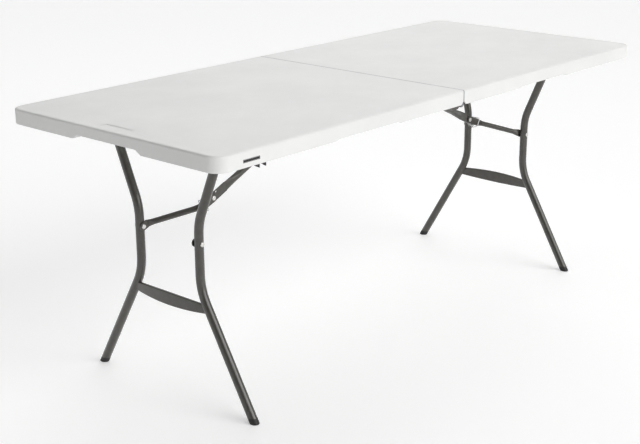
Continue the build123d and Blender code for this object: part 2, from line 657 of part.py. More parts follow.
def brace_arm(side, edge):
    """Brace tube with a flat knee plate beside the link and a flat lug inside the leg tube."""
    plate_y = (edge * KNEE_PLATE_Y, edge * (KNEE_PLATE_Y + KNEE_PLATE_THICKNESS))
    lug_y = (edge * LUG_FACE_Y, edge * (LUG_FACE_Y - LUG_THICKNESS))
    lug_start = BRACE_LENGTH - LUG_RUN
    plate_mid = sum(plate_y) / 2
    lug_mid = sum(lug_y) / 2
    (xa, za), (xb, zb) = arm_point(side, KNEE_PLATE_RUN), arm_point(side, lug_start)
    start = Vector(xa, plate_mid, za)
    stop = Vector(xb, lug_mid, zb)
    run = stop - start
    way = run.normalized()
    flat_way = Vector(*[b - a for a, b in zip((xa, 0, za), (xb, 0, zb))]).normalized()
    width_dir = Vector(0, 1, 0).cross(flat_way)
    tube_start = start + way * ARM_BLEND
    tube_stop = stop - way * ARM_BLEND

    def section(point, normal, half_width, half_thickness):
        return Plane(origin=point, x_dir=width_dir, z_dir=normal), half_width, half_thickness

    half = KNEE_PLATE_THICKNESS / 2
    blends = [
        (section(start, flat_way, LUG_RADIUS, half), section(tube_start, way, ARM_RADIUS, ARM_RADIUS)),
        (section(tube_stop, way, ARM_RADIUS, ARM_RADIUS), section(stop, flat_way, LUG_RADIUS, half)),
    ]
    with BuildPart() as arm:
        with BuildSketch(Plane(origin=tube_start, x_dir=width_dir, z_dir=way)):
            Circle(ARM_RADIUS)
        extrude(amount=(tube_stop - tube_start).length)
        for pair in blends:
            for plane, half_width, half_thickness in pair:
                with BuildSketch(plane):
                    Ellipse(half_width, half_thickness)
            loft()
        flat_bar(side, 0, KNEE_PLATE_RUN, LUG_RADIUS, True, False, plate_y)
        flat_bar(side, lug_start, BRACE_LENGTH, LUG_RADIUS, False, True, lug_y)
        with BuildSketch(Plane(origin=tube_start, x_dir=width_dir, z_dir=way)):
            Circle(ARM_RADIUS - ARM_WALL)
        extrude(amount=(tube_stop - tube_start).length, mode=Mode.SUBTRACT)
        middle = (tube_start + tube_stop) * 0.5
        with Locations(Plane(origin=middle - width_dir * ARM_RADIUS, z_dir=width_dir)):
            Cylinder(DRAIN_RADIUS, ARM_RADIUS, mode=Mode.SUBTRACT)
        for x, y, z in ((side * KNEE_X, plate_mid, KNEE_Z), (side * LEG_X, lug_mid, RIVET_Z)):
            with Locations(Plane(origin=(x, y, z), z_dir=(0, 1, 0))):
                Cylinder(RIVET_RADIUS, 3 * LUG_THICKNESS, mode=Mode.SUBTRACT)
    save(arm.part, f"brace_arm_{SIDES[side]}_{EDGES[edge]}")


def link_point(side, along):
    """Point on the link's centre line, at a distance from its top pivot."""
    x = side * (LINK_PIVOT_X + along * cos(radians(LINK_ANGLE)))
    z = LINK_PIVOT_Z - along * sin(radians(LINK_ANGLE))
    return x, z


def link(side):
    """Tube from the underside to the knee, flattened at both ends."""
    way = Vector(side * cos(radians(LINK_ANGLE)), 0, -sin(radians(LINK_ANGLE)))
    up = Vector(side * sin(radians(LINK_ANGLE)), 0, cos(radians(LINK_ANGLE)))
    half = LINK_FLAT_THICKNESS / 2
    stations = [
        (LINK_TOP_FLAT, LINK_FLAT_HALF_WIDTH, half),
        (LINK_TOP_FLAT + LINK_TOP_BLEND, LINK_RADIUS, LINK_RADIUS),
        (LINK_LENGTH - LINK_KNEE_FLAT - LINK_KNEE_BLEND, LINK_RADIUS, LINK_RADIUS),
        (LINK_LENGTH - LINK_KNEE_FLAT, LINK_FLAT_HALF_WIDTH, half),
    ]

    def plane_at(along):
        x, z = link_point(side, along)
        return Plane(origin=(x, 0, z), x_dir=up, z_dir=way)

    tube_start = stations[1][0]
    tube_length = stations[2][0] - tube_start
    with BuildPart() as bar:
        with BuildSketch(plane_at(tube_start)):
            Circle(LINK_RADIUS)
        extrude(amount=tube_length)
        for pair in (stations[:2], stations[2:]):
            for along, half_width, half_thickness in pair:
                with BuildSketch(plane_at(along)):
                    Ellipse(half_width, half_thickness)
            loft()
        knee_flat = (LINK_LENGTH - LINK_KNEE_FLAT, LINK_LENGTH, LINK_LENGTH)
        for start, stop, pivot in ((0, LINK_TOP_FLAT, 0), knee_flat):
            with BuildSketch(upright(0)):
                with Locations(link_point(side, (start + stop) / 2)):
                    Rectangle(stop - start, 2 * LINK_FLAT_HALF_WIDTH, rotation=-side * LINK_ANGLE)
                with Locations(link_point(side, pivot)):
                    Circle(LINK_FLAT_HALF_WIDTH)
            extrude(amount=half, both=True)
        with BuildSketch(plane_at(tube_start)):
            Circle(LINK_RADIUS - LINK_WALL)
        extrude(amount=tube_length, mode=Mode.SUBTRACT)
        drain_x, drain_z = link_point(side, LINK_LENGTH / 2)
        with Locations(Plane(origin=Vector(drain_x, 0, drain_z) - up * LINK_RADIUS, z_dir=up)):
            Cylinder(DRAIN_RADIUS, LINK_RADIUS, mode=Mode.SUBTRACT)
        for along in (0, LINK_LENGTH):
            x, z = link_point(side, along)
            with Locations(Plane(origin=(x, 0, z), z_dir=(0, 1, 0))):
                Cylinder(RIVET_RADIUS + RUNNING_CLEARANCE, 3 * LINK_FLAT_THICKNESS, mode=Mode.SUBTRACT)
        x, z = link_point(side, LINK_LENGTH - LINK_HOLE_ALONG)
        hole = Vector(x, 0, z) + up * LINK_HOLE_ABOVE
        with Locations(Plane(origin=hole, z_dir=(0, 1, 0))):
            Cylinder(LINK_HOLE_RADIUS, 3 * LINK_FLAT_THICKNESS, mode=Mode.SUBTRACT)
    save(bar.part, f"link_{SIDES[side]}")


def lock_ring(side):
    """Bent wire loop around the link: flat on top, pointed below, parked just past the knee."""
    x, z = link_point(side, LINK_LENGTH + RING_PAST_KNEE)
    way = (side * cos(radians(LINK_ANGLE)), 0, -sin(radians(LINK_ANGLE)))
    plane = Plane(origin=(x, 0, z), x_dir=(0, side, 0), z_dir=way)
    half = RING_HALF_WIDTH
    corners = [(half, RING_TOP), (half, RING_SIDE_BOTTOM), (0, RING_APEX)]
    corners += [(-half, RING_SIDE_BOTTOM), (-half, RING_TOP)]
    with BuildPart() as ring:
        with BuildLine(plane) as loop:
            FilletPolyline(*corners, radius=RING_CORNER_RADIUS, close=True)
        with BuildSketch(Plane(origin=loop.line @ 0, z_dir=loop.line % 0)):
            Circle(RING_WIRE_RADIUS)
        sweep(path=loop.line)
    save(ring.part, f"lock_ring_{SIDES[side]}")


def link_bracket(side):
    """Pressed bracket in the groove: a base plate with two ears that hold the link's pin."""
    x = side * LINK_PIVOT_X
    ear_y = (KNEE_PLATE_Y, KNEE_PLATE_Y + BRACKET_SHEET)
    base_x = (x - BRACKET_HALF_LENGTH, x + BRACKET_HALF_LENGTH)
    base_y = (-BRACKET_HALF_WIDTH, BRACKET_HALF_WIDTH)
    with BuildPart() as bracket:
        block(base_x, base_y, (GROOVE_TOP - BRACKET_SHEET, GROOVE_TOP))
        fillet(bracket.edges().filter_by(Axis.Z), radius=BRACKET_CORNER_RADIUS)
        for way in (-1, 1):
            with BuildSketch(upright(way * sum(ear_y) / 2)):
                ear_height = GROOVE_TOP - BRACKET_SHEET - LINK_PIVOT_Z
                with Locations((x, LINK_PIVOT_Z + ear_height / 2)):
                    Rectangle(2 * BRACKET_EAR_HALF_LENGTH, ear_height)
                with Locations((x, LINK_PIVOT_Z)):
                    Rectangle(2 * BRACKET_EAR_HALF_LENGTH, 2 * (LINK_PIVOT_Z - BRACKET_EAR_BOTTOM))
            extrude(amount=BRACKET_SHEET / 2, both=True)
        with Locations(Plane(origin=(x, 0, LINK_PIVOT_Z), z_dir=(0, 1, 0))):
            Cylinder(RIVET_RADIUS, 4 * BRACKET_HALF_WIDTH, mode=Mode.SUBTRACT)
        for screw_x, screw_y in bracket_screw_places(side):
            with Locations((screw_x, screw_y, GROOVE_TOP)):
                Cylinder(SCREW_RADIUS, 4 * BRACKET_SHEET, mode=Mode.SUBTRACT)
    save(bracket.part, f"link_bracket_{SIDES[side]}")


def link_pin(side):
    outer = KNEE_PLATE_Y + BRACKET_SHEET
    with BuildPart() as pin:
        rivet(pin, side * LINK_PIVOT_X, LINK_PIVOT_Z, -outer, outer, [(-outer, -1), (outer, 1)])
    save(pin.part, f"link_pin_{SIDES[side]}")


def hinge_leaf_y(side):
    """Inner and outer distance of one leaf plate from the table's centre plane."""
    outer = HINGE_LEAF_Y + HINGE_LEAF_THICKNESS
    if side > 0:
        outer -= HINGE_LEAF_THICKNESS + HINGE_LEAF_GAP
    return outer - HINGE_LEAF_THICKNESS, outer


def hinge_leaf(side, edge):
    """Angle plate with an eye on the fold axis. The left one hangs a little below the skirt."""
    inner, outer = hinge_leaf_y(side)
    mid_y = edge * (inner + outer) / 2
    low = SKIRT_BOTTOM - (HINGE_DROP if side < 0 else 0)
    end = SKIRT_BOTTOM - (HINGE_DROP_END if side < 0 else 0)
    bore = HINGE_PIN_RADIUS + (RUNNING_CLEARANCE if side > 0 else 0)
    plate = [
        (side * HINGE_SEAM_INSET, UNDERSIDE),
        (side * HINGE_SEAM_INSET, SKIRT_BOTTOM),
        (side * 2 * HINGE_EYE_RADIUS, low),
        (side * HINGE_LEAF_LEVEL, low),
        (side * HINGE_LEAF_LENGTH, end),
        (side * HINGE_LEAF_LENGTH, UNDERSIDE),
    ]
    with BuildPart() as leaf:
        with BuildSketch(upright(mid_y)):
            Polygon(*plate, align=None)
            with Locations((0, SKIRT_BOTTOM)):
                Circle(HINGE_EYE_RADIUS)
        extrude(amount=HINGE_LEAF_THICKNESS / 2, both=True)
        flange_x = (side * HINGE_SEAM_INSET, side * HINGE_LEAF_LENGTH)
        flange_y = (edge * HINGE_FLANGE_Y, edge * inner)
        block(flange_x, flange_y, (UNDERSIDE - HINGE_FLANGE_THICKNESS, UNDERSIDE))
        with Locations(Plane(origin=(0, mid_y, SKIRT_BOTTOM), z_dir=(0, 1, 0))):
            Cylinder(bore, 4 * HINGE_LEAF_THICKNESS, mode=Mode.SUBTRACT)
        for x in HINGE_SCREW_X:
            with Locations((side * x, edge * HINGE_SCREW_Y, UNDERSIDE)):
                Cylinder(SCREW_RADIUS, 4 * HINGE_FLANGE_THICKNESS, mode=Mode.SUBTRACT)
    save(leaf.part, f"hinge_leaf_{SIDES[side]}_{EDGES[edge]}")


def hinge_pins():
    """Headed pins on the fold axis, fast in the left leaves and turning in the right ones."""
    outer = hinge_leaf_y(-1)[1]
    inner = hinge_leaf_y(1)[0] - HINGE_LEAF_GAP
    with BuildPart() as pins:
        for edge in EDGES:
            for start, stop, radius in (
                (inner, outer, HINGE_PIN_RADIUS),
                (outer, outer + HINGE_PIN_HEAD, HINGE_PIN_HEAD_RADIUS),
                (inner - HINGE_PIN_HEAD, inner, HINGE_PIN_HEAD_RADIUS),
            ):
                centre = (0, edge * (start + stop) / 2, SKIRT_BOTTOM)
                with Locations(Plane(origin=centre, z_dir=(0, 1, 0))):
                    Cylinder(radius, stop - start)
    save(pins.part, "hinge_pins")


os.makedirs("parts", exist_ok=True)
side_label()
carry_latch()
hinge_pins()
for side in SIDES:
    table_half(side)
    panel_screws(side)
    leg_cross_tube(side)
    lower_brace(side)
    leg_rivets(side)
    lug_rivets(side)
    knee_rivet(side)
    link(side)
    lock_ring(side)
    link_bracket(side)
    link_pin(side)
    for edge in EDGES:
        side_rail(side, edge)
        leg_tube(side, edge)
        foot(side, edge)
        brace_arm(side, edge)
        hinge_leaf(side, edge)
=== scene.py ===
import json
from math import cos, pi, radians, sin, sqrt

import bmesh
import bpy
from mathutils import Matrix, Vector


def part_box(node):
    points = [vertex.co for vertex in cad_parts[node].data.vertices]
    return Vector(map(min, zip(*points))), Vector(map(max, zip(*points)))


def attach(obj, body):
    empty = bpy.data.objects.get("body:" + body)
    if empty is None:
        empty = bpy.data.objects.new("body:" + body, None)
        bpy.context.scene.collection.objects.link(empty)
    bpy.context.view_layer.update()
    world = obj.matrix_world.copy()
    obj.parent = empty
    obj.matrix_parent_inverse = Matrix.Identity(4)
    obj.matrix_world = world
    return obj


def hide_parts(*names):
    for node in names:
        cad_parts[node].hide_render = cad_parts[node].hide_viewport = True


# The looks of a folding table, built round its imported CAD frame. Metres, +X along the table, +Z up.
# The two halves of the top and the screws are new meshes made from the CAD's, and the weld beads are added.
# Every other piece is the CAD's own mesh with a procedural material.

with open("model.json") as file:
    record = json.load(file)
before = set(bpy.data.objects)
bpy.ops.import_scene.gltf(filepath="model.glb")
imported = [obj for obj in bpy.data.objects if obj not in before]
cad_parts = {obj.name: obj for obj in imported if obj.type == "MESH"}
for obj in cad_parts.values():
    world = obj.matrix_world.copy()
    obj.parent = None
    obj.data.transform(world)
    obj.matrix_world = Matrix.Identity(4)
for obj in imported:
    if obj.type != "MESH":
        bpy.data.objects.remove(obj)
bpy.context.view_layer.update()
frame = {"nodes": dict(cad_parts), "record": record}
NODES = frame["nodes"]
SIDES = {"left": -1, "right": 1}
EDGES = {"front": -1, "rear": 1}

# ---- camera ----
CAMERA_PLACE = (-2.7663, -2.3249, 1.4619)
CAMERA_AZIMUTH = -0.8435
CAMERA_ELEVATION = 0.3146
CAMERA_ROLL = -0.0050
CAMERA_LENS = 72.0
SENSOR_WIDTH = 36.0

# ---- underside dimples, in metres from the table's centre ----
# UNDERSIDE is the face that the rails are screwed to, and CORE_* bounds what is filled behind it.
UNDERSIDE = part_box("side_rail_left_front")[1][2]
DIMPLE_PITCH = 0.034
DIMPLE_RINGS = ((-0.0004, 0.0068), (0.0005, 0.0060), (0.0050, 0.0042), (0.0080, 0.0028), (0.0088, 0.0014))
DIMPLE_SIDES = 16
DIMPLE_CLEAR = 0.009
WELL_X = (0.0156, 0.8895)
WELL_Y = 0.334
GROOVE_X = (0.058, 0.664)
GROOVE_Y = 0.036
CORE_X = (0.006, 0.0565, 0.6655, 0.8965)
CORE_Y = (-0.365, -0.0375, 0.0375, 0.365)
CORE_Z = (0.7222, 0.7345)

# ---- screws, their profile as height and share of the radius ----
HEAD_RADIUS = 0.0045
HEAD_HEIGHT = 0.0022
HEAD_PROFILE = (
    (0.0, 0.98),
    (-0.0003, 1.0),
    (-0.0010, 0.96),
    (-0.0016, 0.84),
    (-0.0020, 0.62),
    (-HEAD_HEIGHT, 0.3),
)
HEAD_SIDES = 28
SHANK_SIDES = 12
SHANK_RADIUS = 0.0021
CROSS_LENGTH = 0.0052
CROSS_WIDTH = 0.0011
CROSS_DEPTH = 0.0013
CROSS_TAPER = 0.62
SCREW_TURN = 0.61

# ---- leg frame, for the weld beads ----
LEG_X = 0.729
TUBE_RADIUS = 0.012
LEG_HEAD = (0.2055, 0.7085)
LEG_WAIST = (0.111, 0.4846)
LEG_KNEE = (0.111, 0.3098)
LEG_FOOT = (0.291, 0.0)
LOW_BRACE_Z = 0.264
LOW_BRACE_HALF = (0.0035, 0.0105)
BEAD_RADIUS = 0.0016
BEAD_LIMIT = 0.0121
BEAD_SIDES = 8
HEAD_BEAD_POINTS = 56
BRACE_BEAD_POINTS = 40
BRACE_BOW = 0.001

# ---- floor and backdrop ----
FLOOR_HALF = 30.0
WALL_RADIUS = 25.0
WALL_HEIGHT = 40.0

# ---- suns: name, direction towards the light, angle in degrees and strength ----
SUNS = (
    ("front", (0.12, -0.90, 0.42), 50.0, 1.743),
    ("front_right", (0.45, -0.65, 0.60), 50.0, 0.308),
    ("top", (0.15, 0.10, 1.0), 70.0, 0.16),
    ("back_right", (0.75, 0.45, 0.45), 50.0, 0.934),
)


# ------------------------------------------------------------------ node helpers
def new_material(name):
    material = bpy.data.materials.new(name)
    material.use_nodes = True
    tree = material.node_tree
    shader = tree.nodes["Principled BSDF"]
    return material, tree, shader


def node(tree, kind, **inputs):
    made = tree.nodes.new(kind)
    for key, value in inputs.items():
        if key in made.inputs:
            made.inputs[key].default_value = value
        else:
            setattr(made, key, value)
    return made


def place(tree):
    """Object coordinates in metres, the same on every piece because pieces sit at the origin."""
    return node(tree, "ShaderNodeTexCoord").outputs["Object"]


def noise(tree, scale, detail=3.0, rough=0.5):
    made = node(tree, "ShaderNodeTexNoise", Scale=scale, Detail=detail, Roughness=rough)
    tree.links.new(place(tree), made.inputs["Vector"])
    return made.outputs["Fac"]


def voronoi(tree, scale, feature="F1"):
    made = node(tree, "ShaderNodeTexVoronoi", Scale=scale)
    made.feature = feature
    tree.links.new(place(tree), made.inputs["Vector"])
    return made.outputs["Distance"]


def remap(tree, value, low, high, to_low, to_high):
    made = node(tree, "ShaderNodeMapRange")
    for key, number in zip(("From Min", "From Max", "To Min", "To Max"), (low, high, to_low, to_high)):
        made.inputs[key].default_value = number
    tree.links.new(value, made.inputs["Value"])
    return made.outputs["Result"]


def calc(tree, operation, a, b):
    made = node(tree, "ShaderNodeMath", operation=operation)
    for socket, value in zip(made.inputs, (a, b)):
        if isinstance(value, (int, float)):
            socket.default_value = value
        else:
            tree.links.new(value, socket)
    return made.outputs["Value"]


def blend_colours(tree, share, first, second):
    made = node(tree, "ShaderNodeMix", data_type="RGBA")
    sockets = [s for s in made.inputs if s.type == "RGBA"]
    for socket, value in zip(sockets, (first, second)):
        if isinstance(value, tuple):
            socket.default_value = (*value, 1.0)
        else:
            tree.links.new(value, socket)
    tree.links.new(share, made.inputs["Factor"])
    return [s for s in made.outputs if s.type == "RGBA"][0]


def edges_of(tree, low, high):
    """1 on outward edges, 0 on flats and in corners."""
    return remap(tree, node(tree, "ShaderNodeNewGeometry").outputs["Pointiness"], low, high, 0.0, 1.0)


def bump(tree, shader, height, distance, strength=1.0):
    made = node(tree, "ShaderNodeBump", Distance=distance, Strength=strength)
    tree.links.new(height, made.inputs["Height"])
    if shader.inputs["Normal"].is_linked:
        tree.links.new(shader.inputs["Normal"].links[0].from_socket, made.inputs["Normal"])
    tree.links.new(made.outputs["Normal"], shader.inputs["Normal"])


def axis_distances(tree, centre):
    """Distances along X and along Z from a point."""
    split = node(tree, "ShaderNodeSeparateXYZ")
    tree.links.new(place(tree), split.inputs["Vector"])
    across = calc(tree, "ABSOLUTE", calc(tree, "SUBTRACT", split.outputs["X"], centre[0]), 0.0)
    upright = calc(tree, "ABSOLUTE", calc(tree, "SUBTRACT", split.outputs["Z"], centre[2]), 0.0)
    return across, upright


def recolour(tree, shader, share, colour):
    """Lays another colour over the base colour, as strong as share says."""
    below = shader.inputs["Base Color"].links[0].from_socket
    tree.links.new(blend_colours(tree, share, below, colour), shader.inputs["Base Color"])


def seam_painted_shade(material):
    """Painted shade: a grey-blue line darkened into the white along the seam between the halves, where the
    gap lies in shadow.
    """
    tree = material.node_tree
    across, _ = axis_distances(tree, (0.0, 0.0, 0.0))
    # Painted shade: the white is darkened towards grey-blue within 1.4 mm of the seam, fading out by 3 mm,
    # to stand for the gap's shadow.
    near = remap(tree, across, 0.0014, 0.0030, 1.0, 0.0)
    recolour(tree, tree.nodes["Principled BSDF"], calc(tree, "MULTIPLY", near, 0.8), (0.36, 0.37, 0.39))


def pale_border(material, box, inset, width):
    """A thin pale line just inside the label's edge."""
    tree = material.node_tree
    low, high = box
    across, upright = axis_distances(tree, [(a + b) / 2 for a, b in zip(low, high)])
    half_x, half_z = (high[0] - low[0]) / 2, (high[2] - low[2]) / 2
    insides = []
    for margin in (inset, inset + width):
        in_x = calc(tree, "LESS_THAN", across, half_x - margin)
        in_z = calc(tree, "LESS_THAN", upright, half_z - margin)
        insides.append(calc(tree, "MULTIPLY", in_x, in_z))
    line = calc(tree, "SUBTRACT", insides[0], insides[1])
    recolour(tree, tree.nodes["Principled BSDF"], line, (0.42, 0.42, 0.41))


def moulded_plastic(name, colour, dark, rough, grain_scale, grain_depth):
    """Blow-moulded plastic: pebbled grain, faint colour drift, uneven gloss and slight sink marks."""
    material, tree, shader = new_material(name)
    drift = remap(tree, noise(tree, 5.0, 4.0), 0.35, 0.65, 0.0, 1.0)
    tree.links.new(blend_colours(tree, drift, colour, dark), shader.inputs["Base Color"])
    patches = noise(tree, 22.0, 5.0)
    tree.links.new(remap(tree, patches, 0.3, 0.7, rough - 0.05, rough + 0.07), shader.inputs["Roughness"])
    shader.inputs["Specular IOR Level"].default_value = 0.42
    pebbles = remap(tree, voronoi(tree, grain_scale), 0.0, 0.6, 1.0, 0.0)
    grit = noise(tree, grain_scale * 2.7, 2.0)
    grain = calc(tree, "ADD", pebbles, calc(tree, "MULTIPLY", grit, 0.6))
    bump(tree, shader, grain, grain_depth, 0.55)
    sink = noise(tree, 9.0, 1.0)
    bump(tree, shader, sink, 0.0012, 0.35)
    return material


def powder_coat(name, colour, lighter):
    """Dark powder-coated steel: orange-peel sheen, with the coat worn thin along sharp edges."""
    material, tree, shader = new_material(name)
    mottle = remap(tree, noise(tree, 60.0, 4.0), 0.3, 0.7, 0.0, 1.0)
    coat = blend_colours(tree, mottle, colour, lighter)
    worn = edges_of(tree, 0.72, 0.90)
    rubbed = calc(tree, "MULTIPLY", worn, remap(tree, noise(tree, 180.0, 4.0), 0.45, 0.7, 0.0, 0.4))
    tree.links.new(blend_colours(tree, rubbed, coat, (0.22, 0.21, 0.20)), shader.inputs["Base Color"])
    tree.links.new(remap(tree, noise(tree, 90.0, 3.0), 0.3, 0.7, 0.29, 0.37), shader.inputs["Roughness"])
    shader.inputs["Metallic"].default_value = 0.2
    shader.inputs["Specular IOR Level"].default_value = 0.6
    shader.inputs["Coat Weight"].default_value = 0.5
    shader.inputs["Coat Roughness"].default_value = 0.14
    bump(tree, shader, noise(tree, 420.0, 2.0), 0.00025, 0.5)
    bump(tree, shader, noise(tree, 1500.0, 2.0), 0.00008, 0.4)
    return material


def bare_metal(name, colour, rough, spangle_scale):
    """Zinc or bright steel: fine brushed roughness and a faint spangle."""
    material, tree, shader = new_material(name)
    spangle = remap(tree, voronoi(tree, spangle_scale), 0.0, 0.7, 0.0, 1.0)
    dull = tuple(0.72 * c for c in colour)
    flecked = blend_colours(tree, calc(tree, "MULTIPLY", spangle, 0.5), colour, dull)
    tree.links.new(flecked, shader.inputs["Base Color"])
    brushed = remap(tree, noise(tree, 300.0, 5.0), 0.3, 0.7, rough - 0.06, rough + 0.1)
    tree.links.new(brushed, shader.inputs["Roughness"])
    shader.inputs["Metallic"].default_value = 1.0
    bump(tree, shader, noise(tree, 900.0, 3.0), 0.00006, 0.5)
    return material


WHITE = moulded_plastic("white_plastic", (0.80, 0.80, 0.785), (0.765, 0.768, 0.755), 0.46, 620.0, 0.00028)
BLACK = moulded_plastic("black_plastic", (0.012, 0.012, 0.012), (0.02, 0.02, 0.019), 0.52, 900.0, 0.00015)
LABEL_COLOURS = ((0.008, 0.008, 0.009), (0.012, 0.012, 0.012))
LABEL = moulded_plastic("label_plastic", *LABEL_COLOURS, 0.25, 1200.0, 0.00003)
STEEL = powder_coat("dark_steel", (0.044, 0.041, 0.035), (0.058, 0.054, 0.046))
# Paints shade into the white along the seam between the two halves.
seam_painted_shade(WHITE)
pale_border(LABEL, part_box("side_label"), 0.0007, 0.0007)
RIVET = bare_metal("bright_rivet", (0.78, 0.77, 0.75), 0.26, 900.0)
ZINC = bare_metal("zinc_wire", (0.80, 0.80, 0.80), 0.24, 500.0)
DARK_ZINC = bare_metal("dark_zinc", (0.30, 0.30, 0.31), 0.36, 600.0)
ZINC_DULL = bare_metal("screw_zinc", (0.46, 0.46, 0.47), 0.34, 900.0)
LOOKS = {
    "white_plastic": WHITE,
    "black_plastic": BLACK,
    "label_plastic": LABEL,
    "dark_steel": STEEL,
    "bright_rivet": RIVET,
    "zinc_wire": ZINC,
    "dark_zinc": DARK_ZINC,
}

for part in frame["record"]["subparts"]:
    shown = NODES[part["node"]]
    if not shown.material_slots:
        shown.data.materials.append(None)
    for slot in shown.material_slots:
        slot.link = "OBJECT"
        slot.material = LOOKS[part["material_slot"]]


# ------------------------------------------------------------------ mesh helpers
def add_object(name, mesh, material, body):
    made = bpy.data.objects.new(name, mesh)
    bpy.context.scene.collection.objects.link(made)
    mesh.materials.append(material)
    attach(made, body)
    return made


def smooth(mesh, angle=32.0):
    mesh.shade_smooth()
    mesh.set_sharp_from_angle(angle=radians(angle))


def finished(bm, name):
    """A mesh from bm, with its faces turned outwards."""
    bmesh.ops.recalc_face_normals(bm, faces=bm.faces)
    mesh = bpy.data.meshes.new(name)
    bm.to_mesh(mesh)
    bm.free()
    return mesh


def combined(first, second, operation):
    """The mesh of first joined with or cut by second."""
    holder = bpy.data.objects.new("holder", first)
    tool = bpy.data.objects.new("tool", second)
    for made in (holder, tool):
        bpy.context.scene.collection.objects.link(made)
    step = holder.modifiers.new("step", "BOOLEAN")
    step.object = tool
    step.operation = operation
    step.solver = "EXACT"
    bpy.context.view_layer.update()
    result = bpy.data.meshes.new_from_object(holder.evaluated_get(bpy.context.evaluated_depsgraph_get()))
    for made in (holder, tool):
        bpy.data.objects.remove(made)
    return result


def add_rings(bm, rings):
    """Closed surface through rings of the same number of points, capped at both ends."""
    rows = [[bm.verts.new(point) for point in ring] for ring in rings]
    count = len(rows[0])
    for low, high in zip(rows, rows[1:]):
        for i in range(count):
            bm.faces.new((low[i], low[(i + 1) % count], high[(i + 1) % count], high[i]))
    bm.faces.new(rows[0][::-1])
    bm.faces.new(rows[-1])


def circle(x, y, z, radius, count):
    turns = [2 * pi * i / count for i in range(count)]
    return [(x + radius * cos(a), y + radius * sin(a), z) for a in turns]


# ------------------------------------------------------------------ the two halves of the top
def welded_copy(node_name):
    """A copy of a CAD node's mesh with its doubled points merged."""
    bm = bmesh.new()
    bm.from_mesh(NODES[node_name].data)
    bmesh.ops.remove_doubles(bm, verts=bm.verts, dist=1e-6)
    mesh = bpy.data.meshes.new(node_name)
    bm.to_mesh(mesh)
    bm.free()
    return mesh


def core(side):
    """Fills the hollow behind the underside, all round the link's groove, so that dimples can be cut."""
    bm = bmesh.new()
    rows = [[bm.verts.new((side * x, y, CORE_Z[0])) for x in CORE_X] for y in CORE_Y]
    cells = [(i, j) for i in range(3) for j in range(3) if (i, j) != (1, 1)]
    faces = []
    for i, j in cells:
        faces.append(bm.faces.new((rows[i][j], rows[i][j + 1], rows[i + 1][j + 1], rows[i + 1][j])))
    raised = bmesh.ops.extrude_face_region(bm, geom=faces, use_keep_orig=True)["geom"]
    lifted = [item for item in raised if isinstance(item, bmesh.types.BMVert)]
    bmesh.ops.translate(bm, verts=lifted, vec=(0.0, 0.0, CORE_Z[1] - CORE_Z[0]))
    return finished(bm, "core")


def kept_clear(side_name):
    """Plan rectangles under one half that dimples stay out of."""
    side = SIDES[side_name]
    groove = (sorted(side * x for x in GROOVE_X), (-GROOVE_Y, GROOVE_Y))
    taken = [groove]
    names = [f"side_rail_{side_name}_{edge}" for edge in EDGES]
    names += [f"hinge_leaf_{side_name}_{edge}" for edge in EDGES]
    for name in names:
        low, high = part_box(name)
        taken.append(((low[0], high[0]), (low[1], high[1])))
    return taken


def near_span(value, span):
    return span[0] - DIMPLE_CLEAR < value < span[1] + DIMPLE_CLEAR


def dimple_places(side_name):
    """Plan centres of the dimples under one half, in rows set half a pitch apart."""
    side = SIDES[side_name]
    taken = kept_clear(side_name)
    across = int(WELL_Y / DIMPLE_PITCH)
    along = int((WELL_X[1] - WELL_X[0]) / DIMPLE_PITCH)
    start = WELL_X[0] + (WELL_X[1] - WELL_X[0] - (along - 1) * DIMPLE_PITCH) / 2
    for i in range(along):
        x = side * (start + i * DIMPLE_PITCH)
        for j in range(-across, across + 1):
            y = (j + 0.5 * (i % 2)) * DIMPLE_PITCH
            blocked = any(near_span(x, xs) and near_span(y, ys) for xs, ys in taken)
            if abs(y) < WELL_Y - DIMPLE_CLEAR and not blocked:
                yield x, y


def detailed_half(side_name):
    """One half of the top with rows of moulded dimples in its underside."""
    source = f"table_half_{side_name}"
    mesh = welded_copy(source)
    bm = bmesh.new()
    for x, y in dimple_places(side_name):
        rings = [circle(x, y, UNDERSIDE + rise, radius, DIMPLE_SIDES) for rise, radius in DIMPLE_RINGS]
        add_rings(bm, rings)
    cutters = finished(bm, "cutters")
    mesh = combined(mesh, core(SIDES[side_name]), "UNION")
    mesh = combined(mesh, cutters, "DIFFERENCE")
    mesh.materials.clear()
    smooth(mesh)
    made = add_object(f"moulded_top_{side_name}", mesh, WHITE, f"{side_name}_half")
    flats = made.modifiers.new("flats", "WEIGHTED_NORMAL")
    flats.mode = "FACE_AREA"
    flats.weight = 100
    flats.keep_sharp = True
    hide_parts(source)


# ------------------------------------------------------------------ screws
def screw_axes(node_name):
    """The CAD screws, one by one: plan centre, height of the head's underside and of the tip."""
    bm = bmesh.new()
    bm.from_mesh(NODES[node_name].data)
    bmesh.ops.remove_doubles(bm, verts=bm.verts, dist=1e-6)
    left = set(bm.verts)
    found = []
    while left:
        island = {left.pop()}
        edge_of_island = list(island)
        while edge_of_island:
            for edge in edge_of_island.pop().link_edges:
                for vert in edge.verts:
                    if vert in left:
                        left.remove(vert)
                        island.add(vert)
                        edge_of_island.append(vert)
        spans = [[vert.co[axis] for vert in island] for axis in range(3)]
        middle = [(min(span) + max(span)) / 2 for span in spans]
        found.append((round(middle[0], 5), round(middle[1], 5), min(spans[2]), max(spans[2])))
    bm.free()
    return sorted(found)


